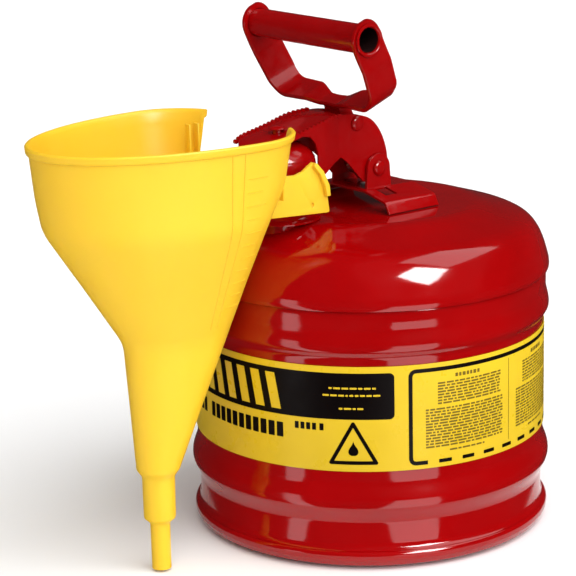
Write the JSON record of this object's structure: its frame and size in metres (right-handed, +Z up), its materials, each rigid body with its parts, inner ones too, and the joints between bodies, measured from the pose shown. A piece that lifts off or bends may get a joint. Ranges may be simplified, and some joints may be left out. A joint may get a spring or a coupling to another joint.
{
  "type": "safety gas can",
  "caption": "Round steel safety can with rolled beads, spring-loaded spout lid, swinging bail handle, flame arrester and a clip-on plastic pouring funnel.",
  "frame": {"origin": "centre of the whole object's box, on the surface that the can stands on", "axes": "+Z up along the can's axis, -Y towards the spout and the funnel, +X to the can's left seen from behind"},
  "size_m": [0.2414, 0.3736, 0.3475],
  "materials": {
    "red_paint": "glossy baked red enamel",
    "yellow_plastic": "satin moulded polyethylene",
    "label_print": null,
    "zinc_steel": "zinc-plated steel",
    "screen_steel": "woven stainless mesh",
    "gasket_rubber": "black sealing rubber"
  },
  "bodies": {
    "can": {"bottom_pan": "red_paint", "side_wall": "red_paint", "dome_top": "red_paint", "label_band": "label_print", "spout_neck": "red_paint", "arrester_collar": "zinc_steel", "arrester_outer_screen": "screen_steel", "arrester_inner_screen": "screen_steel", "arrester_ring": "zinc_steel", "hinge_bracket": "red_paint", "lever_pin": "zinc_steel", "lever_spring": "zinc_steel"},
    "lever": {"lid_lever": "red_paint", "handle_pin": "zinc_steel", "cap_spring": "zinc_steel"},
    "cap": {"cap_shell": "red_paint", "cap_gasket": "gasket_rubber", "gasket_retainer": "zinc_steel", "cap_stud": "zinc_steel"},
    "handle": {"handle_bail": "red_paint", "handle_grip": "red_paint", "handle_knuckle": "red_paint"},
    "funnel": {"funnel_body": "yellow_plastic"}
  },
  "joints": [
    {"name": "lid_hinge", "type": "hinge", "parent": "can", "child": "lever", "pos_m": [0, 0.06168, 0.241], "axis": [-1, 0, 0], "range_deg": [0, 55], "stiffness_Nm_per_rad": 1.2, "springref_deg": -85.94, "deforming": ["lever_spring"]},
    {"name": "cap_float", "type": "slide", "parent": "lever", "child": "cap", "axis": [0, 0, 1], "range_m": [0, 0.0012], "stiffness_N_per_m": 5000, "springref_m": -0.002, "deforming": ["cap_spring"]},
    {"name": "handle_swing", "type": "hinge", "parent": "lever", "child": "handle", "pos_m": [0, 0.04568, 0.2725], "axis": [-1, 0, 0], "range_deg": [0, 65]},
    {"name": "funnel_pull", "type": "slide", "parent": "can", "child": "funnel", "axis": [0, -1, 0], "range_m": [0, 0.11]}
  ]
}
